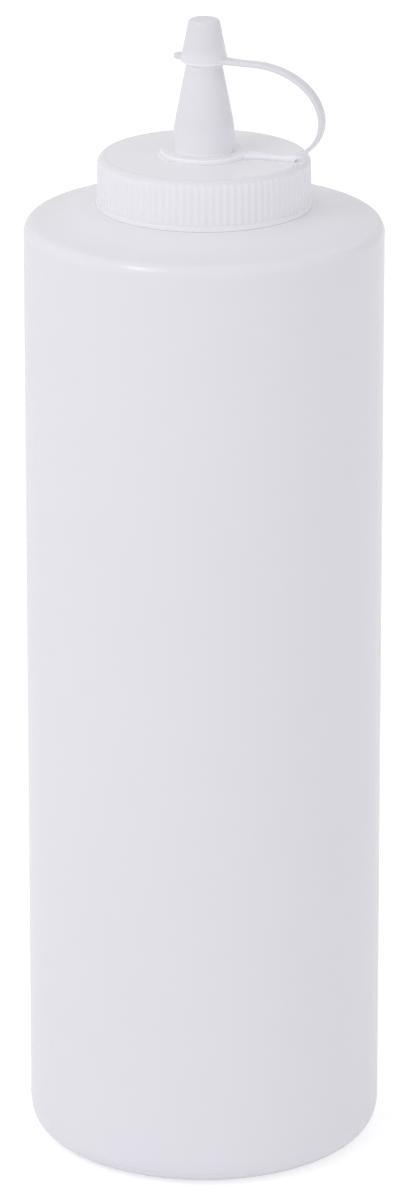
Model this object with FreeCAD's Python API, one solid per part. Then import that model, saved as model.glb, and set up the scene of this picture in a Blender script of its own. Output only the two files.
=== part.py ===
"""A squeeze bottle for sauces: a blow-moulded bottle, a screw cap with a pouring nozzle, and a tip closure
held to the nozzle by its own strap.

Millimetres, +Z up, the origin at the centre of the base. The strap leaves the closure towards +X, turned a
little to -Y. Three pieces, each one solid: bottle, cap and closure.
"""

import FreeCAD, Part
import math
import os

V = FreeCAD.Vector

# Bottle body
body_radius = 35.0
body_straight = 186.9  # height of the top of the straight wall
wall = 1.1
base_corner = 6.0
foot_width = 3.5  # the flat ring that the bottle stands on
push_up = 3.2  # how far the middle of the base is raised
push_up_step = 2.0  # height and width of the slope between foot and dome
dome_flat = 3.0  # radius of the flat spot in the middle of the dome
shoulder_corner = 2.4
shoulder_slope = 13.8  # degrees above level
land_margin = 0.25  # from the cap's collar out to where the shoulder turns into the land round the neck

# Neck and its thread
neck_radius = 17.6
neck_wall = 1.6
neck_height = 8.65  # from the land to the mouth
neck_fillet = 0.5
mouth_chamfer = 0.3
thread_pitch = 3.6
thread_turns = 1.25
thread_height = 0.9
thread_root_width = 1.7
thread_crest_width = 0.7
thread_overlap = 0.3  # how deep a ridge is rooted in its wall
thread_top_margin = 1.2  # from the mouth down to the top of the ridge

# Screw cap
cap_gap = 0.1  # from the shoulder's land up to the cap's lower edge
skirt_wall = 1.6  # without the ribs
cap_inner_clearance = 0.45  # from the bottle's thread crest to the skirt's inside
cap_corner = 1.5
disc_thickness = 1.15
seal_clearance = 0.05
rib_count = 92
rib_depth = 0.25
rib_crest_share = 0.34  # of one pitch
rib_valley_share = 0.30
rib_top_drop = 0.6  # from the disc's top down to the ribs' upper ends
collar_proud = 0.15  # over the ribs
collar_height = 1.1
collar_chamfer = 0.25
skirt_lead_in = 0.4
cap_thread_start = 0.75  # turns up the neck's thread
cap_thread_turns = 0.5

# Nozzle
nozzle_base_radius = 5.75
nozzle_base_height = 4.9  # the straight part above the disc
nozzle_bead = 0.2  # how far the cone stands out over the straight part
nozzle_bead_rise = 0.3
nozzle_cone_height = 20.2
nozzle_tip_radius = 2.06
nozzle_wall = 1.1
orifice_radius = 1.0
orifice_length = 1.7
nozzle_edge = 0.3

# Tip closure
closure_fit = 0.15  # between nozzle and closure, square to the cone
closure_wall = 1.0
closure_top = 1.3  # thickness over the nozzle's tip
closure_tip_gap = 0.15
closure_grip = 6.9  # how far the closure reaches down the cone
closure_corner = 0.8
closure_lip = 0.2
tab_lift = 0.05  # from the closure's lower edge up to its tab and strap
tab_reach = 6.5  # from the axis
tab_width = 3.0
tab_thickness = 0.9
tab_clearance = 0.1  # between the tab's root and the nozzle

# Strap and its ring
strap_azimuth = -29.0  # degrees from +X, at the closure
ring_azimuth = -12.0  # at the ring
strap_width = 2.4
strap_thickness_top = 0.9
strap_thickness_bottom = 0.75
strap_edge = 0.2
strap_reach = 23.9  # the furthest point of its centre line from the axis
strap_top_run = 10.9  # where the level run at the closure ends
strap_bottom_run = 15.1  # where the level run at the ring begins
strap_belly = 0.443  # share of the drop that lies under the furthest point
strap_rooting = 0.7  # how far each end runs into the closure and the ring
strap_sections_per_bend = 10
strap_section_gap = 1.6  # along the level runs
ring_width = 2.65
ring_thickness = 0.9
ring_clearance = 0.1
ring_lift = 0.05  # from the disc up to the ring

# Levels and radii that follow
thread_crest_radius = neck_radius + thread_height
skirt_inner_radius = thread_crest_radius + cap_inner_clearance
skirt_radius = skirt_inner_radius + skirt_wall
cap_radius = skirt_radius + rib_depth
collar_radius = cap_radius + collar_proud
land_radius = collar_radius + land_margin

SLOPE = math.radians(shoulder_slope)
slope_start_radius = body_radius - shoulder_corner * (1 - math.sin(SLOPE))
slope_start_level = body_straight + shoulder_corner * math.cos(SLOPE)
land_level = slope_start_level + (slope_start_radius - land_radius) * math.tan(SLOPE)
mouth_level = land_level + neck_height
bore_radius = neck_radius - neck_wall
thread_start_level = mouth_level - thread_top_margin - thread_root_width / 2 - thread_pitch * thread_turns

cap_bottom = land_level + cap_gap
disc_underside = mouth_level + seal_clearance
disc_level = disc_underside + disc_thickness
cone_bottom = disc_level + nozzle_base_height + nozzle_bead_rise
cone_bottom_radius = nozzle_base_radius + nozzle_bead
nozzle_tip = cone_bottom + nozzle_cone_height
CONE = math.atan((cone_bottom_radius - nozzle_tip_radius) / nozzle_cone_height)

closure_bottom = nozzle_tip - closure_grip
closure_ceiling = nozzle_tip + closure_tip_gap
closure_level = closure_ceiling + closure_top
ring_bottom = disc_level + ring_lift
ring_inner_radius = nozzle_base_radius + ring_clearance
ring_outer_radius = ring_inner_radius + ring_width


def circle_point(centre, radius, degrees):
    """The point (r, z) at an angle above level on a circle round centre."""
    angle = math.radians(degrees)
    return (centre[0] + radius * math.cos(angle), centre[1] + radius * math.sin(angle))


def arc(centre, radius, start, end):
    """A step of an outline: an arc from angle start to angle end, as its middle and its last point."""
    return (circle_point(centre, radius, (start + end) / 2), circle_point(centre, radius, end))


def revolved(start, *steps):
    """The solid of a closed outline in (r, z) turned about Z. A step is a point, or an arc's two points."""
    here = V(start[0], 0, start[1])
    first = here
    edges = []
    for step in [*steps, start]:
        curved = isinstance(step[0], tuple)
        end = step[1] if curved else step
        there = V(end[0], 0, end[1])
        if curved:
            edges.append(Part.Arc(here, V(step[0][0], 0, step[0][1]), there).toShape())
        elif there.distanceToPoint(here) > 1e-6:
            edges.append(Part.LineSegment(here, there).toShape())
        here = there
    assert here.distanceToPoint(first) < 1e-6
    return Part.Face(Part.Wire(edges)).revolve(V(0, 0, 0), V(0, 0, 1), 360)


def cone_radius(level):
    """The nozzle cone's outer radius at a level."""
    return nozzle_tip_radius + (nozzle_tip - level) * math.tan(CONE)


def thread_ridge(root_radius, outward, start, turns):
    """A helical ridge on a wall of root_radius, pointing out of a neck (+1) or into a skirt (-1).

    start is how many turns up the neck's own thread it begins. A skirt's ridge runs half a pitch below that
    thread.
    """
    root = root_radius - outward * thread_overlap
    crest = root_radius + outward * thread_height
    half_root = thread_root_width / 2
    half_crest = thread_crest_width / 2
    corners = [(root, -half_root), (crest, -half_crest), (crest, half_crest), (root, half_root)]
    points = [V(r, 0, z) for r, z in corners]
    section = Part.makePolygon([*points, points[0]])
    helix = Part.makeHelix(thread_pitch, thread_pitch * turns, root_radius)
    ridge = helix.makePipeShell([section], True, True)
    turns_up = start if outward > 0 else start - 1 / 2
    ridge.rotate(V(0, 0, 0), V(0, 0, 1), 360 * start)
    ridge.translate(V(0, 0, thread_start_level + thread_pitch * turns_up))
    return ridge


def make_bottle():
    inner_wall = body_radius - wall
    foot_outer = body_radius - base_corner
    foot_inner = foot_outer - foot_width
    dome_edge = foot_inner - push_up_step
    dome_rise = push_up - push_up_step
    dome_drop = (dome_edge**2 - dome_flat**2 - dome_rise**2) / (2 * dome_rise)
    dome_radius = math.hypot(dome_edge, dome_drop)
    dome_centre = (0, push_up_step - dome_drop)
    dome_angle = math.degrees(math.acos(dome_edge / dome_radius))
    flat_angle = math.degrees(math.acos(dome_flat / dome_radius))
    inner_edge = dome_edge + wall * (math.sqrt(2) - 1)
    inner_dome_angle = math.degrees(math.acos(inner_edge / (dome_radius + wall)))
    inner_flat_angle = math.degrees(math.acos(dome_flat / (dome_radius + wall)))
    inner_flat_level = circle_point(dome_centre, dome_radius + wall, inner_flat_angle)[1]
    base_centre = (foot_outer, base_corner)
    corner_centre = (body_radius - shoulder_corner, body_straight)
    slope_normal = 90 - shoulder_slope
    inner_slope_start = circle_point(corner_centre, shoulder_corner - wall, slope_normal)
    inner_rise = (inner_slope_start[0] - bore_radius) * math.tan(SLOPE)
    body = revolved(
        (0, push_up),
        (dome_flat, push_up),
        arc(dome_centre, dome_radius, flat_angle, dome_angle),
        (foot_inner, 0),
        (foot_outer, 0),
        arc(base_centre, base_corner, -90, 0),
        (body_radius, body_straight),
        arc(corner_centre, shoulder_corner, 0, slope_normal),
        (land_radius, land_level),
        (neck_radius + neck_fillet, land_level),
        arc((neck_radius + neck_fillet, land_level + neck_fillet), neck_fillet, 270, 180),
        (neck_radius, mouth_level - mouth_chamfer),
        (neck_radius - mouth_chamfer, mouth_level),
        (bore_radius, mouth_level),
        (bore_radius, inner_slope_start[1] + inner_rise),
        inner_slope_start,
        arc(corner_centre, shoulder_corner - wall, slope_normal, 0),
        (inner_wall, base_corner),
        arc(base_centre, base_corner - wall, 0, -90),
        (inner_edge + push_up_step, wall),
        circle_point(dome_centre, dome_radius + wall, inner_dome_angle),
        arc(dome_centre, dome_radius + wall, inner_dome_angle, inner_flat_angle),
        (0, inner_flat_level),
    )
    return body.fuse(thread_ridge(neck_radius, 1, 0, thread_turns))


def rib_outline():
    """A closed polygon of rib_count teeth, a little deeper and higher than the ribs."""
    pitch = 2 * math.pi / rib_count
    low = skirt_radius - rib_depth
    high = cap_radius + rib_depth
    half_valley = pitch * (rib_valley_share / 2)
    half_crest = pitch * (rib_crest_share / 2)
    points = []
    for rib in range(rib_count):
        middle = rib * pitch
        stops = [
            (low, middle - pitch / 2 + half_valley),
            (high, middle - half_crest),
            (high, middle + half_crest),
            (low, middle + pitch / 2 - half_valley),
        ]
        points += [V(r * math.cos(angle), r * math.sin(angle), 0) for r, angle in stops]
    return Part.makePolygon([*points, points[0]])


def make_ribs():
    """The ribs as a ring: a toothed prism trimmed to the rounded outline that runs over the crests."""
    bottom = cap_bottom + collar_height / 2
    top = disc_level - rib_top_drop
    trim_centre = (cap_radius - cap_corner, top - cap_corner)
    inside = skirt_radius - 2 * rib_depth
    trim = revolved(
        (inside, bottom),
        (cap_radius, bottom),
        (cap_radius, top - cap_corner),
        arc(trim_centre, cap_corner, 0, 90),
        (inside, top),
    )
    prism = Part.Face(rib_outline()).extrude(V(0, 0, top - bottom + rib_depth))
    prism.translate(V(0, 0, bottom - rib_depth / 2))
    return prism.common(trim)


def make_cap():
    bead_top = cap_bottom + collar_height
    corner_centre = (skirt_radius - cap_corner, disc_level - cap_corner)
    inner_base_radius = nozzle_base_radius - nozzle_wall
    inner_drop = (inner_base_radius - orifice_radius) / math.tan(CONE)
    inner_cone_top = nozzle_tip - orifice_length
    shell = revolved(
        (skirt_inner_radius + skirt_lead_in, cap_bottom),
        (collar_radius, cap_bottom),
        (collar_radius, bead_top - collar_chamfer),
        (skirt_radius, bead_top),
        (skirt_radius, disc_level - cap_corner),
        arc(corner_centre, cap_corner, 0, 90),
        (nozzle_base_radius, disc_level),
        (nozzle_base_radius, cone_bottom - nozzle_bead_rise),
        (cone_bottom_radius, cone_bottom),
        (cone_radius(nozzle_tip - nozzle_edge), nozzle_tip - nozzle_edge),
        (nozzle_tip_radius - nozzle_edge, nozzle_tip),
        (orifice_radius, nozzle_tip),
        (orifice_radius, inner_cone_top),
        (inner_base_radius, inner_cone_top - inner_drop),
        (inner_base_radius, disc_underside),
        (skirt_inner_radius, disc_underside),
        (skirt_inner_radius, cap_bottom + skirt_lead_in),
    )
    ridge = thread_ridge(skirt_inner_radius, -1, cap_thread_start, cap_thread_turns)
    return shell.fuse(make_ribs()).fuse(ridge)


def make_hat():
    """The closure's hollow cone."""
    square_to_level = 1 / math.cos(CONE)
    inner = closure_fit * square_to_level
    outer = (closure_fit + closure_wall) * square_to_level
    bottom_outer = cone_radius(closure_bottom) + outer
    top_outer = cone_radius(closure_level) + outer
    ceiling_radius = cone_radius(closure_ceiling) + inner
    corner = closure_corner
    cone_normal = math.degrees(CONE)
    inset = corner * math.tan((math.pi / 2 - CONE) / 2)
    corner_centre = (top_outer - inset, closure_level - corner)
    return revolved(
        (0, closure_ceiling),
        (ceiling_radius, closure_ceiling),
        (cone_radius(closure_bottom) + inner, closure_bottom),
        (bottom_outer - closure_lip, closure_bottom),
        (bottom_outer, closure_bottom + closure_lip),
        circle_point(corner_centre, corner, cone_normal),
        arc(corner_centre, corner, cone_normal, 90),
        (0, closure_level),
    )


def make_tab():
    """A round-ended finger tab opposite the strap."""
    level = closure_bottom + tab_lift
    inside = cone_radius(closure_bottom) + closure_wall / 2
    half = tab_width / 2
    end = Part.makeCylinder(half, tab_thickness, V(tab_reach - half, 0, level))
    bar = Part.makeBox(tab_reach - half - inside, tab_width, tab_thickness, V(inside, -half, level))
    nozzle_low = cone_radius(level) + tab_clearance
    nozzle_high = cone_radius(level + tab_thickness) + tab_clearance
    nozzle = Part.makeCone(nozzle_low, nozzle_high, tab_thickness, V(0, 0, level))
    tab = bar.fuse(end).cut(nozzle)
    tab.rotate(V(0, 0, 0), V(0, 0, 1), strap_azimuth + 180)
    return tab


def strap_route():
    """The strap's centre line as (distance from the axis, level), from the closure to the ring."""
    start_radius = cone_radius(closure_bottom) + closure_fit + closure_wall - strap_rooting
    start_level = closure_bottom + tab_lift + strap_thickness_top / 2
    end_radius = ring_outer_radius - strap_rooting
    end_level = ring_bottom + ring_thickness / 2
    widest_level = end_level + strap_belly * (start_level - end_level)
    steps = strap_sections_per_bend
    route = level_run(start_radius, strap_top_run, start_level)
    for step in range(2 * steps + 1):
        angle = math.pi / 2 * (1 - step / steps)
        run_end, height = strap_top_run, start_level - widest_level
        if step > steps:
            run_end, height = strap_bottom_run, widest_level - end_level
        radius = run_end + (strap_reach - run_end) * math.cos(angle)
        route.append((radius, widest_level + height * math.sin(angle)))
    return route + level_run(end_radius, strap_bottom_run, end_level)[::-1]


def level_run(inner, outer, level):
    """Points of a level run from inner up to outer, without the last one."""
    count = round((outer - inner) / strap_section_gap)
    return [(inner + (outer - inner) * index / count, level) for index in range(count)]


def strap_section(place, across, upright, thickness):
    """A rectangle with cut corners, square to the strap."""
    half_width = strap_width / 2
    half_thickness = thickness / 2
    corners = [
        (half_width - strap_edge, -half_thickness),
        (half_width, -half_thickness + strap_edge),
        (half_width, half_thickness - strap_edge),
        (half_width - strap_edge, half_thickness),
    ]
    corners += [(-a, -b) for a, b in corners]
    points = [place + across * a + upright * b for a, b in corners]
    return Part.makePolygon([*points, points[0]])


def make_strap():
    route = strap_route()
    lengths = [math.dist(a, b) for a, b in zip(route, route[1:])]
    total = sum(lengths)
    places = []
    azimuths = []
    for index, (radius, level) in enumerate(route):
        share = sum(lengths[:index]) / total
        azimuth = math.radians(strap_azimuth + share * (ring_azimuth - strap_azimuth))
        azimuths.append(azimuth)
        places.append(V(radius * math.cos(azimuth), radius * math.sin(azimuth), level))
    sections = []
    for index, place in enumerate(places):
        before = places[max(index - 1, 0)]
        after = places[min(index + 1, len(places) - 1)]
        along = (after - before).normalize()
        sideways = V(-math.sin(azimuths[index]), math.cos(azimuths[index]), 0)
        upright = sideways.cross(along).normalize()
        across = along.cross(upright)
        share = sum(lengths[:index]) / total
        thickness = strap_thickness_top + share * (strap_thickness_bottom - strap_thickness_top)
        sections.append(strap_section(place, across, upright, thickness))
    return Part.makeLoft(sections, True, False)


def make_ring():
    """The flat ring that is snapped round the nozzle's straight base."""
    ring_top = ring_bottom + ring_thickness
    return revolved(
        (ring_inner_radius, ring_bottom),
        (ring_outer_radius, ring_bottom),
        (ring_outer_radius, ring_top),
        (ring_inner_radius, ring_top),
    )


def make_closure():
    return make_hat().fuse(make_tab()).fuse(make_strap()).fuse(make_ring())


def save(name, shape):
    solids = shape.removeSplitter().Solids
    assert len(solids) == 1 and solids[0].isValid(), name
    solids[0].exportStep(f"parts/{name}.step")
    print(name, round(solids[0].Volume), "mm3", solids[0].BoundBox)


os.makedirs("parts", exist_ok=True)
save("bottle", make_bottle())
save("cap", make_cap())
save("closure", make_closure())
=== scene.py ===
"""The looks of an empty squeeze bottle: milky bottle, ribbed cap with nozzle, and closure on a strap."""

import math
from types import SimpleNamespace

import bpy
from mathutils import Matrix, Vector


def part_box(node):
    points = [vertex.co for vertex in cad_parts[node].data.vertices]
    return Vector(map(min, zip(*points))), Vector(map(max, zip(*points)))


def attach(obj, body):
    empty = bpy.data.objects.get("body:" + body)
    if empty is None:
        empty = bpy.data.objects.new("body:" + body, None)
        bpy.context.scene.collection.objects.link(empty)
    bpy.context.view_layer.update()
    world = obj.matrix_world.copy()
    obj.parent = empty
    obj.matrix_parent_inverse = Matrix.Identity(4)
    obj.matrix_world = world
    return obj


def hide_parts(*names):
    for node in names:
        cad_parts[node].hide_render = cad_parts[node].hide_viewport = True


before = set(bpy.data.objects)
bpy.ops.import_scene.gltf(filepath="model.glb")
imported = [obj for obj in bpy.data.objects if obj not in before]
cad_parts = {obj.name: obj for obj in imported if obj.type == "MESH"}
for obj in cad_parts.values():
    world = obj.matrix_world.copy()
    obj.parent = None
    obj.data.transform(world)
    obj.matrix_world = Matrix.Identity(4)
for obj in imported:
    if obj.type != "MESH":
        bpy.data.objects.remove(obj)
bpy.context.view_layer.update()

MM = 0.001
TOUCH = 1e-8  # how near a radius has to be to count as the same
seat = 0.01 * MM  # the hairline between pieces that seat on each other

# ---------------------------------------------------------------- sizes, from the frame
bottle_low, bottle_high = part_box("bottle")
cap_low, cap_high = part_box("cap")
closure_low, closure_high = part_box("closure")

body_radius = (bottle_high.x - bottle_low.x) / 2
mouth_level = bottle_high.z
collar_radius = (cap_high.x - cap_low.x) / 2
nozzle_tip = cap_high.z
closure_level = closure_high.z
ring_bottom = closure_low.z

# Bottle
wall = 1.1 * MM
base_corner = 6 * MM
foot_width = 3.5 * MM
foot_round = 0.6 * MM
push_up = 3.2 * MM
push_up_step = 2 * MM
dome_flat = 3 * MM
shoulder_corner = 2.4 * MM
SLOPE = math.radians(13.8)
neck_radius = 17.6 * MM
neck_wall = 1.6 * MM
neck_height = 8.65 * MM
neck_fillet = 0.5 * MM
lip_round = 0.35 * MM
land_level = mouth_level - neck_height
land_margin = 0.25 * MM
land_radius = collar_radius + land_margin
bore_radius = neck_radius - neck_wall
seam_height = 0.06 * MM
seam_width = 0.35 * MM
pinch_height = 0.35 * MM
pinch_width = 0.7 * MM
pinch_length = 21 * MM
pinch_lift = 0.12 * MM  # of the line's middle into the base
pinch_tip = 0.02  # the line's thickness at its ends, as a share

# Thread
pitch = 3.6 * MM
thread_turns = 1.25
thread_height = 0.9 * MM
thread_root = 1.7 * MM
thread_crest = 0.7 * MM
thread_below_mouth = 1.2 * MM
thread_start = mouth_level - thread_below_mouth - thread_root / 2 - pitch * thread_turns
thread_runout = 0.12  # turns over which a ridge rises at its ends

# Cap
rib_count = 92
columns_per_rib = 8
rib_depth = 0.13 * MM
rib_crest = 0.12  # half width of a rib's crest, as a share of half the pitch
rib_root = 0.88  # half width of a rib's root, as a share of half the pitch
RIB_END = math.radians(30)  # how far the ribs climb the cap's rounded edge
RIB_NOSE = math.radians(3)  # a rib fades over this to both sides of its end
cap_corner = 1.5 * MM
cap_bottom = land_level + seat
disc_thickness = 1.15 * MM
skirt_wall = 1.6 * MM
collar_proud = 0.15 * MM
skirt_radius = collar_radius - collar_proud - rib_depth
skirt_inner = skirt_radius - skirt_wall
mouth_clearance = 0.05 * MM
disc_underside = mouth_level + mouth_clearance
disc_level = disc_underside + disc_thickness
skirt_draft = 0.2 * MM
skirt_lead_in = 0.4 * MM
collar_height = 1.1 * MM
collar_round = 0.45 * MM
collar_edge = 0.1 * MM
cap_thread_start = 0.75  # turns up the neck's thread
cap_thread_turns = 0.5

# Nozzle
nozzle_base = 5.75 * MM
nozzle_bead = 0.2 * MM
nozzle_blend = 2.1 * MM
nozzle_base_height = 5.2 * MM
above_ring = 0.1 * MM  # the nozzle stays straight to just above the ring
cone_bottom = disc_level + nozzle_base_height
cone_bottom_radius = nozzle_base + nozzle_bead
nozzle_tip_radius = 2.06 * MM
nozzle_wall = 1.1 * MM
nozzle_edge = 0.3 * MM
orifice = 1.0 * MM
orifice_length = 1.7 * MM
orifice_edge = 0.05 * MM
CONE = math.atan((cone_bottom_radius - nozzle_tip_radius) / (nozzle_tip - cone_bottom))

# Closure
closure_fit = 0.15 * MM
closure_wall = 1.0 * MM
closure_overlap = 6.9 * MM
closure_ceiling = nozzle_tip + closure_fit
closure_bottom = nozzle_tip - closure_overlap
closure_corner = 0.8 * MM
closure_lip = 0.2 * MM
closure_grip = 0.6 * MM  # the closure narrows onto the nozzle over this height
closure_edge = 0.05 * MM
tab_lift = 0.05 * MM
tab_reach = 6.5 * MM
tab_width = 3.0 * MM
tab_thickness = 0.9 * MM
tab_root = 3.2 * MM
tab_round = 0.3 * MM

# Strap and ring
strap_turn = math.radians(-29)
ring_turn = math.radians(-12)
strap_width = 2.4 * MM
strap_thickness_top = 0.9 * MM
strap_thickness_bottom = 0.75 * MM
strap_round = 0.28 * MM
strap_under_round = 0.12 * MM
strap_reach = 23.9 * MM
strap_top_run = 10.9 * MM
strap_bottom_run = 15.1 * MM
strap_belly = 0.443  # how high its widest place lies, as a share of the loop
strap_rooting = 0.7 * MM
strap_web = 0.6 * MM  # nearer than this to the disc, the strap's underside is drawn down onto it
flare_at_closure = 0.35
flare_at_closure_length = 3.2 * MM
flare_at_ring = 0.9
flare_at_ring_length = 4 * MM
ring_inner = nozzle_base + 2 * seat
ring_reach = 2.75 * MM
ring_outer = nozzle_base + ring_reach
ring_thickness = 0.9 * MM
ring_round = 0.3 * MM
ring_inner_round = 0.04 * MM
ring_under_round = 0.05 * MM


# ---------------------------------------------------------------- outlines
def arc(centre, radius, start, end, steps):
    """Points (r, z) of an arc round centre, from angle start to angle end in degrees, both included."""
    angles = [math.radians(start + (end - start) * i / steps) for i in range(steps + 1)]
    return [(centre[0] + radius * math.cos(a), centre[1] + radius * math.sin(a)) for a in angles]


def run(start, end, steps):
    """Points of a straight run from start to end, both included."""
    return [tuple(a + (b - a) * i / steps for a, b in zip(start, end)) for i in range(steps + 1)]


def tidy(points, closeness=1e-7):
    """The outline without points that repeat the one before."""
    kept = [points[0]]
    for point in points[1:]:
        if math.dist(point, kept[-1]) > closeness:
            kept.append(point)
    return kept


def smoothstep(low, high, value):
    """0 up to the value low, 1 from high on, and a soft rise between them."""
    share = min(max((value - low) / (high - low), 0), 1)
    return share * share * (3 - 2 * share)


def lathe(name, outline, columns, shape=None, closed=False):
    """A mesh turned about Z from points (r, z). A point on the axis closes the mesh there.

    shape(angle, r, z) may return a changed (r, z). With closed, the last row joins the first one.
    """
    angles = [2 * math.pi * c / columns for c in range(columns)] if isinstance(columns, int) else columns
    count = len(angles)
    verts, rows, faces = [], [], []
    for r, z in outline:
        if r < 1e-9:
            rows.append([len(verts)] * count)
            verts.append((0, 0, z))
            continue
        rows.append(range(len(verts), len(verts) + count))
        for angle in angles:
            radius, level = shape(angle, r, z) if shape else (r, z)
            verts.append((radius * math.cos(angle), radius * math.sin(angle), level))
    pairs = list(zip(rows, rows[1:]))
    if closed:
        pairs.append((rows[-1], rows[0]))
    for lower, upper in pairs:
        for c in range(count):
            d = (c + 1) % count
            corners = [lower[c], lower[d], upper[d], upper[c]]
            faces.append([v for i, v in enumerate(corners) if v != corners[i - 1]])
    return piece(name, verts, faces)


def ring_faces(rings, size):
    """Faces that join rings of size points each, one after the other, and close both ends."""
    faces = []
    for i in range(rings - 1):
        for j in range(size):
            k = (j + 1) % size
            faces.append((i * size + j, i * size + k, (i + 1) * size + k, (i + 1) * size + j))
    faces.append(tuple(range(size))[::-1])
    faces.append(tuple((rings - 1) * size + j for j in range(size)))
    return faces


def piece(name, verts, faces):
    mesh = bpy.data.meshes.new(name)
    mesh.from_pydata(verts, [], faces)
    mesh.validate()
    return smooth_object(name, mesh)


def smooth_object(name, mesh, sharp=38):
    """A smooth-shaded object, its edges sharp where they turn by more than sharp degrees."""
    mesh.shade_smooth()
    mesh.set_sharp_from_angle(angle=math.radians(sharp))
    obj = bpy.data.objects.new(name, mesh)
    bpy.context.scene.collection.objects.link(obj)
    return obj


# ---------------------------------------------------------------- bottle
def thread_rise(angle, level, start, turns, shift):
    """How high the ridge stands at an angle and level, as a share of its height."""
    best = 0
    for lap in range(3):
        turned = angle / (2 * math.pi) + lap - start
        if not 0 <= turned <= turns:
            continue
        middle = thread_start + shift + pitch * (turned + start)
        away = abs(level - middle)
        ends = smoothstep(0, thread_runout, turned) * smoothstep(0, thread_runout, turns - turned)
        best = max(best, ends * (1 - smoothstep(thread_crest / 2, thread_root / 2, away)))
    return best


def bottle_outline():
    """From the middle of the base, outside up to the mouth and inside down to the middle again."""
    foot_outer = body_radius - base_corner
    foot_inner = foot_outer - foot_width
    dome_edge = foot_inner - push_up_step
    dome_rise = push_up - push_up_step
    drop = (dome_edge**2 - dome_flat**2 - dome_rise**2) / (2 * dome_rise)
    dome_radius = math.hypot(dome_edge, drop)
    dome_centre = (0, push_up_step - drop)
    edge_angle = math.degrees(math.acos(dome_edge / dome_radius))
    base_centre = (foot_outer, base_corner)
    corner = (body_radius - shoulder_corner, land_level - slope_climb())
    normal = 90 - math.degrees(SLOPE)
    inner_corner = arc(corner, shoulder_corner - wall, 0, normal, 8)
    inner_climb = (inner_corner[-1][0] - bore_radius) * math.tan(SLOPE)
    step_low = (foot_inner, 0)
    step_high = (dome_edge, push_up_step)
    outline = [(0, push_up), *arc(dome_centre, dome_radius, 90, edge_angle, 26)[1:-1]]
    outline += soft_corner(outline[-1], step_high, step_low, foot_round * 2, 6)
    outline += soft_corner(step_high, step_low, (foot_outer, 0), foot_round, 5)
    outline += run((foot_inner + foot_round, 0), (foot_outer, 0), 3)
    outline += arc(base_centre, base_corner, -90, 0, 18)
    outline += run((body_radius, base_corner), (body_radius, corner[1]), 44)
    outline += arc(corner, shoulder_corner, 0, normal, 16)
    outline += run(outline[-1], (land_radius, land_level), 10)
    fillet = (neck_radius + neck_fillet, land_level + neck_fillet)
    outline += run((land_radius, land_level), (fillet[0], land_level), 4)
    outline += arc(fillet, neck_fillet, 270, 180, 5)
    outline += run((neck_radius, fillet[1]), (neck_radius, mouth_level - lip_round), 48)
    outline += arc((neck_radius - lip_round, mouth_level - lip_round), lip_round, 0, 90, 5)
    outline += arc((bore_radius + lip_round, mouth_level - lip_round), lip_round, 90, 180, 5)
    outline += run(outline[-1], (bore_radius, inner_corner[-1][1] + inner_climb), 8)
    outline += run(outline[-1], inner_corner[-1], 8)
    outline += inner_corner[::-1]
    outline += run((body_radius - wall, corner[1]), (body_radius - wall, base_corner), 24)
    outline += arc(base_centre, base_corner - wall, 0, -90, 10)
    inner_edge = dome_edge + wall * (math.sqrt(2) - 1)
    inner_angle = math.degrees(math.acos(inner_edge / (dome_radius + wall)))
    outline += run((foot_outer, wall), (inner_edge + push_up_step, wall), 3)
    outline += arc(dome_centre, dome_radius + wall, inner_angle, 90, 10)[:-1]
    outline.append((0, dome_centre[1] + dome_radius + wall))
    return tidy(outline)


def slope_climb():
    """The height of the shoulder, from the top of the straight wall to the land."""
    start_radius = body_radius - shoulder_corner * (1 - math.sin(SLOPE))
    return shoulder_corner * math.cos(SLOPE) + (start_radius - land_radius) * math.tan(SLOPE)


def soft_corner(before, corner, after, size, steps):
    """A rounded corner of an outline, as a curve from size before the corner to size after it."""
    points = []
    one = along(corner, before, size)
    two = along(corner, after, size)
    for i in range(steps + 1):
        t = i / steps
        first, middle, last = (1 - t) ** 2, 2 * t * (1 - t), t * t
        points.append(tuple(first * a + middle * b + last * c for a, b, c in zip(one, corner, two)))
    return points


def along(start, towards, length):
    """The point at a length from start towards another point, at most halfway."""
    reach = math.dist(start, towards)
    return tuple(a + (b - a) * min(length / reach, 0.5) for a, b in zip(start, towards))


def seam_columns(columns, extra=3):
    """Column angles, with more of them close to the parting line at both sides."""
    angles = {2 * math.pi * c / columns for c in range(columns)}
    step = seam_width / body_radius / extra
    for side in (0, math.pi):
        angles |= {(side + step * i) % (2 * math.pi) for i in range(-2 * extra, 2 * extra + 1)}
    ordered = sorted(angles)
    gaps = [b - a for a, b in zip(ordered, [*ordered[1:], ordered[0] + 2 * math.pi])]
    return [angle for angle, gap in zip(ordered, gaps) if gap > step / 4]


def bottle_shape(angle, r, z):
    """The thread on the neck and the raised parting line down both sides."""
    if abs(r - neck_radius) < TOUCH and z > land_level:
        return r + thread_height * thread_rise(angle, z, 0, thread_turns, 0), z
    outside = r > body_radius - wall / 2 and z > base_corner / 2
    if outside and z < land_level:
        away = abs(math.remainder(angle, math.pi)) * r
        return r - seam_height * smoothstep(0, seam_width, away) * smoothstep(0, base_corner, z), z
    return r, z


def make_bottle():
    obj = lathe("bottle_shell", bottle_outline(), seam_columns(256), bottle_shape)
    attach(obj, "root")
    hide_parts("bottle")
    return obj


def make_pinch_line():
    """The raised line that the mould's closing edges leave across the middle of the base."""
    steps, sides = 60, 8
    verts = []
    for i in range(steps + 1):
        x = pinch_length * (i / steps - 0.5)
        middle = dome_level(x) + pinch_lift
        taper = math.sqrt(max(1 - (2 * x / pinch_length) ** 4, pinch_tip**2))
        for j in range(sides):
            a = 2 * math.pi * j / sides
            side, rise = math.cos(a) * pinch_width / 2, math.sin(a) * pinch_height
            verts.append((x, side * taper, middle + rise * taper))
    obj = piece("base_pinch_line", verts, ring_faces(steps + 1, sides))
    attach(obj, "root")
    return obj


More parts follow.
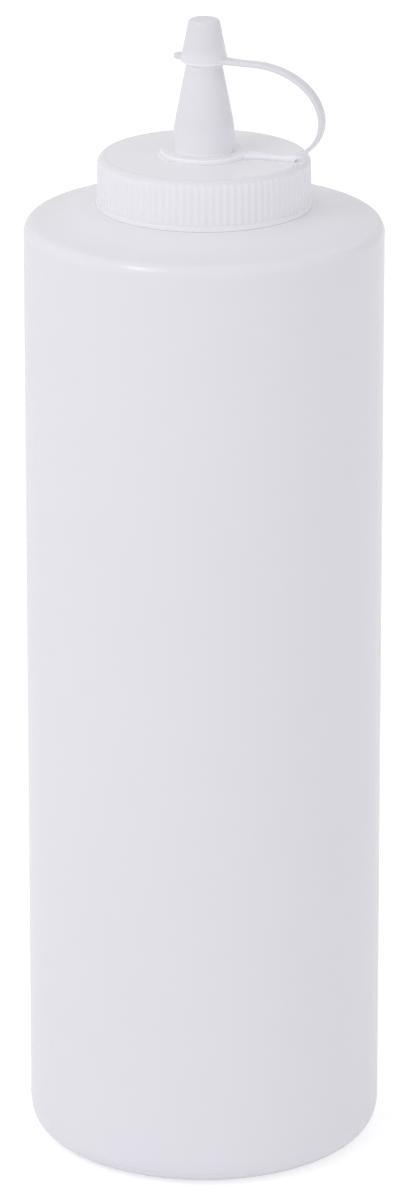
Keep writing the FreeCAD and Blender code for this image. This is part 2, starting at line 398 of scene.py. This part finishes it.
def dome_level(x):
    """The underside of the raised base at a distance from the axis."""
    dome_edge = body_radius - base_corner - foot_width - push_up_step
    dome_rise = push_up - push_up_step
    return push_up - dome_rise * (x / dome_edge) ** 2


# ---------------------------------------------------------------- cap
def cap_outline():
    """From the collar's foot, outside up the skirt and nozzle to the tip, and inside down again."""
    corner = (skirt_radius - cap_corner, disc_level - cap_corner)
    bead_top = cap_bottom + collar_height
    bead_end = math.degrees(math.acos(1 - (collar_radius - skirt_radius) / collar_round))
    base_inner = nozzle_base - nozzle_wall
    inner_drop = (base_inner - orifice) / math.tan(CONE)
    edge_radius = nozzle_tip_radius + nozzle_edge * math.tan(CONE)
    ribs_stop = math.degrees(RIB_END)
    seated = (nozzle_base, disc_level + ring_thickness + above_ring)
    widest = (cone_bottom_radius, cone_bottom)
    outline = arc((collar_radius - collar_edge, cap_bottom + collar_edge), collar_edge, -90, 0, 4)
    outline += arc((collar_radius - collar_round, bead_top - collar_round), collar_round, 0, bead_end, 7)
    outline += run(outline[-1], (skirt_radius, corner[1]), 4)
    # The rows lie closer together where the ribs end.
    outline += arc(corner, cap_corner, 0, ribs_stop - 8, 4)
    outline += arc(corner, cap_corner, ribs_stop - 6, ribs_stop + 4, 5)
    outline += arc(corner, cap_corner, ribs_stop + 8, 90, 9)
    outline += run((corner[0], disc_level), (nozzle_base, disc_level), 8)
    outline += [(nozzle_base, disc_level), seated]
    outline += soft_corner(seated, widest, (nozzle_tip_radius, nozzle_tip), nozzle_blend, 10)
    outline += run(outline[-1], (edge_radius, nozzle_tip - nozzle_edge), 8)
    outline += soft_corner((edge_radius, nozzle_tip - nozzle_edge), (nozzle_tip_radius, nozzle_tip),
                           (orifice, nozzle_tip), nozzle_edge, 4)
    outline += run((orifice + orifice_edge, nozzle_tip), (orifice, nozzle_tip - orifice_edge), 1)
    outline += run((orifice, nozzle_tip - orifice_edge), (orifice, nozzle_tip - orifice_length), 2)
    outline += run(outline[-1], (base_inner, nozzle_tip - orifice_length - inner_drop), 5)
    outline += run(outline[-1], (base_inner, disc_underside), 2)
    outline += run((base_inner, disc_underside), (skirt_inner, disc_underside), 4)
    outline += run((skirt_inner, disc_underside), (skirt_inner, cap_bottom + skirt_lead_in), 34)
    outline += run(outline[-1], (skirt_inner + skirt_lead_in, cap_bottom), 2)
    return tidy(outline)


def rib_rise(angle):
    """The rib's height at an angle, as a share of its depth: a rounded tooth."""
    across = abs(math.remainder(angle, 2 * math.pi / rib_count)) * rib_count / math.pi
    return 1 - smoothstep(rib_crest, rib_root, across)


def cap_shape(angle, r, z):
    """The drafted skirt, its ribs, which end on the rounded edge, and the thread inside."""
    corner = (skirt_radius - cap_corner, disc_level - cap_corner)
    bead_top = cap_bottom + collar_height
    if abs(r - skirt_inner) < TOUCH:
        rise = thread_rise(angle, z, cap_thread_start, cap_thread_turns, -pitch / 2)
        return r - thread_height * rise, z
    if r > corner[0] and z > bead_top - collar_round / 4:
        tilt = math.atan2(z - corner[1], r - corner[0]) if z > corner[1] else 0
        ended = smoothstep(RIB_END - RIB_NOSE, RIB_END + RIB_NOSE, tilt)
        depth = rib_depth * rib_rise(angle) * (1 - ended)
        climb = (z - bead_top) / (disc_level - bead_top)
        lean = skirt_draft * smoothstep(corner[0], skirt_radius, r) * climb
        return r - max(lean, 0) + depth * math.cos(tilt), z + depth * math.sin(tilt)
    return r, z


def make_cap():
    obj = lathe("cap_with_nozzle", cap_outline(), rib_count * columns_per_rib, cap_shape, closed=True)
    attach(obj, "root")
    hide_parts("cap")
    return obj


# ---------------------------------------------------------------- closure
def nozzle_radius(level):
    """The outer radius of the nozzle's cone at a level."""
    return nozzle_tip_radius + (nozzle_tip - level) * math.tan(CONE)


def hat_outline():
    """From the middle of the ceiling, inside down to the edge and outside up to the middle of the top."""
    inner = closure_fit / math.cos(CONE)
    outer = (closure_fit + closure_wall) / math.cos(CONE)
    low = nozzle_radius(closure_bottom) + outer
    top = nozzle_radius(closure_level) + outer
    inset = closure_corner * math.tan((math.pi / 2 - CONE) / 2)
    corner = (top - inset, closure_level - closure_corner)
    normal = math.degrees(CONE)
    ceiling = nozzle_radius(closure_ceiling) + inner
    grip_level = closure_bottom + closure_grip
    edge_level = closure_bottom + closure_edge
    outline = [(0, closure_ceiling), (ceiling / 2, closure_ceiling)]
    outline += run((ceiling, closure_ceiling), (nozzle_radius(grip_level) + inner, grip_level), 6)
    outline += run(outline[-1], (nozzle_radius(edge_level) + seat, edge_level), 2)
    outline.append((nozzle_radius(closure_bottom) + closure_edge, closure_bottom))
    outline += arc((low - closure_lip, closure_bottom + closure_lip), closure_lip, 270, 360, 5)
    outline += run(outline[-1], arc(corner, closure_corner, normal, 90, 1)[0], 16)
    outline += arc(corner, closure_corner, normal, 90, 9)
    outline += [(corner[0] / 2, closure_level), (0, closure_level)]
    return tidy(outline)


def make_tab():
    """A round-ended finger tab with softened edges."""
    level = closure_bottom + tab_lift + tab_thickness / 2
    end = tab_reach - tab_width / 2
    steps, layers = 18, 9
    verts = []
    for layer in range(layers):
        a = math.pi * (layer / (layers - 1) - 0.5)
        side = 1 if a > 0 else -1 if a < 0 else 0
        height = (tab_thickness / 2 - tab_round) * side + tab_round * math.sin(a)
        half = tab_width / 2 - tab_round * (1 - math.cos(a))
        verts.append((tab_root, -half, height))
        for i in range(steps + 1):
            b = math.radians(-90 + 180 * i / steps)
            verts.append((end + half * math.cos(b), half * math.sin(b), height))
        verts.append((tab_root, half, height))
    turn = Matrix.Rotation(strap_turn + math.pi, 4, "Z") @ Matrix.Translation((0, 0, level))
    return piece("tab", [turn @ Vector(v) for v in verts], ring_faces(layers, steps + 3))


def strap_route():
    """The strap's centre line as (distance from the axis, level), from the closure to the ring."""
    hat_wall = (closure_fit + closure_wall) / math.cos(CONE)
    start_radius = nozzle_radius(closure_bottom) + hat_wall - strap_rooting
    start_level = closure_bottom + tab_lift + strap_thickness_top / 2
    end_radius = ring_outer - strap_rooting
    end_level = disc_level + seat + strap_thickness_bottom / 2
    widest = end_level + strap_belly * (start_level - end_level)
    bend = 30
    route = run((start_radius, start_level), (strap_top_run, start_level), 12)[:-1]
    for step in range(2 * bend + 1):
        angle = math.pi / 2 * (1 - step / bend)
        inner, height = strap_top_run, start_level - widest
        if step > bend:
            inner, height = strap_bottom_run, widest - end_level
        route.append((inner + (strap_reach - inner) * math.cos(angle), widest + height * math.sin(angle)))
    return route + run((strap_bottom_run, end_level), (end_radius, end_level), 12)[1:]


def rounded_section(width, thickness, top_radius, under_radius, steps=4):
    """Points (across, up) of a rectangle with rounded corners, its upper two and its lower two alike."""
    points = []
    for quarter, (sx, sy) in enumerate([(1, 1), (-1, 1), (-1, -1), (1, -1)]):
        radius = top_radius if sy > 0 else under_radius
        for i in range(steps + 1):
            a = math.pi / 2 * (quarter + i / steps)
            points.append((sx * (width / 2 - radius) + radius * math.cos(a),
                           sy * (thickness / 2 - radius) + radius * math.sin(a)))
    return points


def make_strap():
    """The strap, swept along its route as that turns about the axis, and wider at both ends."""
    route = strap_route()
    lengths = [0]
    for a, b in zip(route, route[1:]):
        lengths.append(lengths[-1] + math.dist(a, b))
    total = lengths[-1]
    turns = [strap_turn + s / total * (ring_turn - strap_turn) for s in lengths]
    places = [Vector((r * math.cos(t), r * math.sin(t), z)) for (r, z), t in zip(route, turns)]
    verts = []
    for i, place in enumerate(places):
        forward = (places[min(i + 1, len(places) - 1)] - places[max(i - 1, 0)]).normalized()
        sideways = Vector((-math.sin(turns[i]), math.cos(turns[i]), 0))
        up = sideways.cross(forward).normalized()
        across = forward.cross(up)
        share = lengths[i] / total
        thickness = strap_thickness_top + share * (strap_thickness_bottom - strap_thickness_top)
        flare = 1 + flare_at_closure * (1 - smoothstep(0, flare_at_closure_length, lengths[i]))
        flare += flare_at_ring * (1 - smoothstep(0, flare_at_ring_length, total - lengths[i]))
        for a, b in rounded_section(strap_width * flare, thickness, strap_round, strap_under_round):
            point = place + across * a + up * b
            if b < 0 and i > len(places) // 2 and point.z < disc_level + strap_web:
                point.z = disc_level + seat
            verts.append(point)
    return piece("strap", verts, ring_faces(len(places), len(verts) // len(places)))


def make_ring():
    """The ring that lies on the disc round the nozzle's foot."""
    low, high = disc_level + seat, ring_bottom + ring_thickness
    under, inside = ring_under_round, ring_inner_round
    outline = arc((ring_outer - under, low + under), under, -90, 0, 3)
    outline += arc((ring_outer - ring_round, high - ring_round), ring_round, 0, 90, 7)
    outline += arc((ring_inner + inside, high - inside), inside, 90, 180, 5)
    outline += arc((ring_inner + under, low + under), under, 180, 270, 3)
    return lathe("ring", tidy(outline), 160, closed=True)


def united(name, parts):
    """One object from overlapping closed pieces."""
    first, *others = parts
    for other in others:
        union = first.modifiers.new("union", "BOOLEAN")
        union.operation = "UNION"
        union.solver = "EXACT"
        union.object = other
    graph = bpy.context.evaluated_depsgraph_get()
    mesh = bpy.data.meshes.new_from_object(first.evaluated_get(graph))
    for part in parts:
        bpy.data.objects.remove(part)
    mesh.name = name
    return smooth_object(name, mesh)


def make_closure():
    hat = lathe("hat", hat_outline(), 96)
    obj = united("closure_with_strap", [hat, make_tab(), make_strap(), make_ring()])
    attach(obj, "root")
    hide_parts("closure")
    return obj


# ---------------------------------------------------------------- materials
# Painted light: the pale colour that the masks lift the surface towards, to fill shade and paint highlights.
PAINTED_LIGHT_COLOUR = (0.93, 0.92, 0.97, 1)
cloud_scale = 22.0
streak_scale = 420.0
grain_scale = 1200.0
patch_scale = 140.0
drawn_out = 0.03  # how much slower the streaks change upwards than across
pale_share = 1.02
deep_share = 0.975
scatter_length = 0.002
relief_height = 0.00012


class Value:
    """A socket that takes part in arithmetic. Each operation adds a Math node."""

    def __init__(self, shader, socket):
        self.shader = shader
        self.socket = socket

    def math(self, operation, one, two):
        return self.shader.node("ShaderNodeMath", {"operation": operation}, **{"0": one, "1": two})

    def __add__(self, other):
        return self.math("ADD", self, other)

    def __mul__(self, other):
        return self.math("MULTIPLY", self, other)

    def __sub__(self, other):
        return self.math("SUBTRACT", self, other)

    def __rsub__(self, other):
        return self.math("SUBTRACT", other, self)

    def __pow__(self, other):
        return self.math("POWER", self, other)

    __radd__ = __add__
    __rmul__ = __mul__


class Shader:
    """A material or world node tree."""

    def __init__(self, owner):
        owner.use_nodes = True
        self.tree = owner.node_tree
        self.tree.nodes.clear()

    def node(self, kind, settings=None, output=0, **sockets):
        """Adds a node and returns one of its outputs. A socket is named as in the node, or by its number."""
        made = self.tree.nodes.new(kind)
        for key, value in (settings or {}).items():
            setattr(made, key, value)
        for key, value in sockets.items():
            name = key.replace("_", " ")
            socket = made.inputs[int(key)] if key.isdigit() else made.inputs[name]
            if isinstance(value, Value):
                self.tree.links.new(value.socket, socket)
            else:
                socket.default_value = value
        return Value(self, made.outputs[output]) if made.outputs else made


def near(s, value, edge, reach):
    """1 up to the value edge, and from there softly down to 0 over reach.

    With a reach below 0 it is 1 from the edge on, and falls to 0 below it.
    """
    return s.node("ShaderNodeMapRange", {"interpolation_type": "SMOOTHSTEP"}, **{
        "0": value, "1": edge, "2": edge + reach, "3": 1.0, "4": 0.0})


def bottle_painted_light(s, at):
    """Painted light on the bottle: the shoulder's slope paler, and more so beside the cap, filling the shade
    of the gap under the cap.
    """
    beside_cap = near(s, at.radius, land_radius, 0.8 * MM)
    slope = near(s, at.radius, land_radius + 3 * MM, body_radius - land_radius - 5 * MM)
    return (0.3 * beside_cap + 0.2 * slope) * near(s, at.level, land_level - 4 * MM, -4 * MM)


def cap_painted_light(s, at):
    """Painted light on the cap: skirt and disc paler but for the rounded top edge, and paler still round the
    ring, under closure and strap, and at the foot, filling the shade there.
    """
    ring_top = disc_level + ring_thickness
    skirt_and_disc = near(s, at.level, disc_level + 0.02 * MM, 0.08 * MM)
    rim = near(s, at.level, disc_level - 0.3 * MM, -1.2 * MM)
    rim = rim * near(s, at.radius, skirt_radius - 1.3 * MM, -0.6 * MM)
    # Painted light filling the shade at the nozzle's foot round the ring, under the closure and at the cap's
    # foot.
    by_ring = 0.5 * near(s, at.level, ring_top, 7 * MM) + 0.5 * near(s, at.level, ring_top, 0.8 * MM)
    by_ring = by_ring * near(s, at.radius, ring_outer, 0.8 * MM)
    by_closure = near(s, at.level, closure_bottom, -1.4 * MM)
    foot = 0.4 * near(s, at.level, cap_bottom + 0.2 * MM, 0.7 * MM)
    foot = foot + 0.1 * near(s, at.level, cap_bottom + 1 * MM, 6 * MM)
    # Painted light over the strap's shadow on the disc.
    turn = ring_turn + (strap_turn - ring_turn) / 5
    off_strap = at.y * math.cos(turn) - at.x * math.sin(turn)
    off_strap = s.node("ShaderNodeMath", {"operation": "ABSOLUTE"}, **{"0": off_strap})
    under_strap = near(s, off_strap, strap_width / 2, strap_width / 2)
    under_strap = under_strap * near(s, at.x, skirt_radius, strap_bottom_run - skirt_radius)
    under_strap = under_strap * near(s, at.level, disc_level - 0.1 * MM, -0.4 * MM)
    return 0.34 * skirt_and_disc - 0.34 * rim + by_ring + 0.85 * by_closure + foot + under_strap


def closure_painted_light(s, at):
    """Painted light on the closure: the ring and the strap's run on the cap paler, painted highlights on the
    ring's edges and the hat's lower lip, and painted light filling the shade on the strap's underside, at
    its root and on the hat's lower part.
    """
    ring_top = disc_level + ring_thickness
    hat_radius = nozzle_radius(closure_bottom) + closure_fit + closure_wall
    on_cap = near(s, at.level, ring_top, 0.8 * MM)
    # Painted highlights on the ring's inner and outer edges.
    rims = near(s, at.radius, ring_inner, 0.4 * MM) + near(s, at.radius, ring_outer, -0.5 * MM)
    normal = s.node("ShaderNodeNewGeometry", output="Normal")
    facing = s.node("ShaderNodeSeparateXYZ", output="Z", Vector=normal)
    under_strap = near(s, facing, -0.6, 0.5) * near(s, at.level, ring_top + 1 * MM, 3 * MM)
    # Painted highlight on the hat's lower lip; painted light filling the shade on its lower part and at the
    # strap's root.
    lip = 0.5 * near(s, at.level, closure_bottom + 0.15 * MM, 0.35 * MM)
    skirt = 0.2 * near(s, at.level, closure_bottom + 1 * MM, 2.5 * MM)
    root = 0.2 * near(s, at.x, hat_radius - 0.9 * MM, -1.5 * MM)
    root = root * near(s, at.level, closure_bottom + 3 * MM, 3 * MM)
    on_hat = near(s, at.radius, hat_radius, 0.3 * MM)
    return on_cap * (0.45 + 0.3 * rims) + 0.6 * under_strap + (skirt + lip + root) * on_hat


def noise(s, place, scale, detail, roughness):
    """A pattern of soft spots, from 0 to 1."""
    return s.node(
        "ShaderNodeTexNoise", output="Fac", Vector=place, Scale=scale, Detail=detail, Roughness=roughness)


def milky_plastic(name, colour, depth, shine, streaks, painted_light):
    """Milky polyethylene with faint clouds, satin grain and upright streaks, and painted light: paler where
    the given masks paint light into shade or paint highlights.
    """
    material = bpy.data.materials.new(name)
    s = Shader(material)
    place = s.node("ShaderNodeTexCoord", output="Object")
    x, y, level = (s.node("ShaderNodeSeparateXYZ", output=axis, Vector=place) for axis in "XYZ")
    at = SimpleNamespace(x=x, y=y, level=level, radius=(x * x + y * y) ** 0.5)
    drawn = s.node("ShaderNodeMapping", Vector=place, Scale=(1, 1, drawn_out))
    clouds = noise(s, place, cloud_scale, 3.0, 0.5)
    lines = noise(s, drawn, streak_scale, 2.0, 0.6)
    grain = noise(s, place, grain_scale, 1.0, 0.5)
    patches = noise(s, place, patch_scale, 2.0, 0.5)
    pale = tuple(min(c * pale_share, 1) for c in colour)
    deep = tuple(c * deep_share for c in colour)
    tone = s.node("ShaderNodeMix", {"data_type": "RGBA"}, output=2, **{
        "0": 0.7 * clouds + 0.2 * patches + 0.1 * lines, "6": (*deep, 1), "7": (*pale, 1)})
    # Painted light: the masks lift the tone towards the pale colour where shade falls and where highlights
    # are painted.
    painted_tone = s.node("ShaderNodeMix", {"data_type": "RGBA"}, output=2, **{
        "0": painted_light(s, at), "6": tone, "7": PAINTED_LIGHT_COLOUR})
    rough = 0.18 + 0.07 * patches
    relief = streaks * lines + 0.12 * grain + 0.25 * patches
    bump = s.node("ShaderNodeBump", Strength=0.06, Distance=relief_height, Height=relief)
    surface = s.node(
        "ShaderNodeBsdfPrincipled", Base_Color=painted_tone, Roughness=rough, Normal=bump, IOR=1.51,
        Specular_IOR_Level=shine, Subsurface_Weight=depth, Subsurface_Radius=(1.0, 1.0, 1.05),
        Subsurface_Scale=scatter_length)
    s.node("ShaderNodeOutputMaterial", Surface=surface)
    return material


def dress(obj, material):
    obj.data.materials.clear()
    obj.data.materials.append(material)


# ---------------------------------------------------------------- stage, light and camera
floor_half = 4.0
floor_glow = 0.15  # the share of the floor that gives off light
floor_glow_seen = 0.25  # added to that share where the camera looks straight at the floor
room_light = 0.87
room_side = (-0.105, -0.10, 0.0)


def make_floor():
    """A white floor that keeps the object's shadow and gives off a little light of its own."""
    corners = [(-floor_half, -floor_half, 0), (floor_half, -floor_half, 0)]
    corners += [(floor_half, floor_half, 0), (-floor_half, floor_half, 0)]
    obj = piece("floor", corners, [(0, 1, 2, 3)])
    material = bpy.data.materials.new("pale_floor")
    s = Shader(material)
    seen = s.node("ShaderNodeLightPath", output="Is Camera Ray")
    matte = s.node("ShaderNodeBsdfDiffuse", Color=(0.9, 0.9, 0.91, 1))
    glow = s.node("ShaderNodeEmission", Color=(1, 1, 1, 1), Strength=1.5)
    share = floor_glow + seen * floor_glow_seen
    surface = s.node("ShaderNodeMixShader", **{"0": share, "1": matte, "2": glow})
    s.node("ShaderNodeOutputMaterial", Surface=surface)
    dress(obj, material)


def make_world():
    """A soft room: a little brighter from the left and the front than from the right and behind."""
    world = bpy.data.worlds.new("soft_room")
    bpy.context.scene.world = world
    s = Shader(world)
    way = s.node("ShaderNodeTexCoord", output="Generated")
    more = s.node("ShaderNodeVectorMath", {"operation": "DOT_PRODUCT"}, output="Value", **{
        "0": way, "1": room_side})
    seen = s.node("ShaderNodeLightPath", output="Is Camera Ray")
    strength = seen + (1 - seen) * (room_light + more)
    background = s.node("ShaderNodeBackground", Color=(1, 1, 1, 1), Strength=strength)
    s.node("ShaderNodeOutputWorld", Surface=background)


def lamp(name, azimuth, elevation, distance, size, power, height):
    """A soft panel aimed at a height on the axis. Azimuth 0 is the front, 90 the right."""
    a, e = math.radians(azimuth), math.radians(elevation)
    aim = Vector((0, 0, height))
    place = aim + distance * Vector((math.sin(a) * math.cos(e), -math.cos(a) * math.cos(e), math.sin(e)))
    data = bpy.data.lights.new(name, "AREA")
    data.shape = "RECTANGLE"
    data.size, data.size_y = size
    data.energy = power
    obj = bpy.data.objects.new(name, data)
    obj.location = place
    obj.rotation_euler = (aim - place).to_track_quat("-Z", "Y").to_euler()
    bpy.context.scene.collection.objects.link(obj)


CAMERA_TILT = math.radians(17.795)  # below the level


def make_camera():
    """A long lens from close in front, looking down on the bottle."""
    data = bpy.data.cameras.new("camera")
    data.lens = 190.4
    data.sensor_width = 36
    data.shift_y = -0.10
    obj = bpy.data.objects.new("camera", data)
    obj.location = (0.00045, -1.1855, 0.5165)
    obj.rotation_euler = (math.pi / 2 - CAMERA_TILT, 0, 0)
    bpy.context.scene.collection.objects.link(obj)
    bpy.context.scene.camera = obj


make_camera()
make_floor()
make_world()
lamp("key_panel", azimuth=-46, elevation=40, distance=0.9, size=(0.26, 0.013), power=1.05, height=0.18)
lamp("side_strip", azimuth=60, elevation=25, distance=0.55, size=(0.03, 0.12), power=0.04, height=0.15)

# The cap's and, more so, the closure's colours are set darker than the bottle's, though all are one plastic:
# painted shade that holds the thin nozzle, strap and closure down to the body's brightness.
bottle_material = milky_plastic(
    "bottle_polyethylene", (0.755, 0.745, 0.805), depth=0.3, shine=0.28, streaks=0.5, painted_light=bottle_painted_light)
cap_material = milky_plastic(
    "cap_polyethylene", (0.732, 0.723, 0.774), depth=0.15, shine=0.35, streaks=0.1, painted_light=cap_painted_light)
closure_material = milky_plastic(
    "closure_polyethylene", (0.695, 0.688, 0.735), depth=0.1, shine=0.4, streaks=0.1,
    painted_light=closure_painted_light)
dress(make_bottle(), bottle_material)
dress(make_pinch_line(), bottle_material)
dress(make_cap(), cap_material)
dress(make_closure(), closure_material)

view = bpy.context.scene.view_settings
view.view_transform = "Standard"
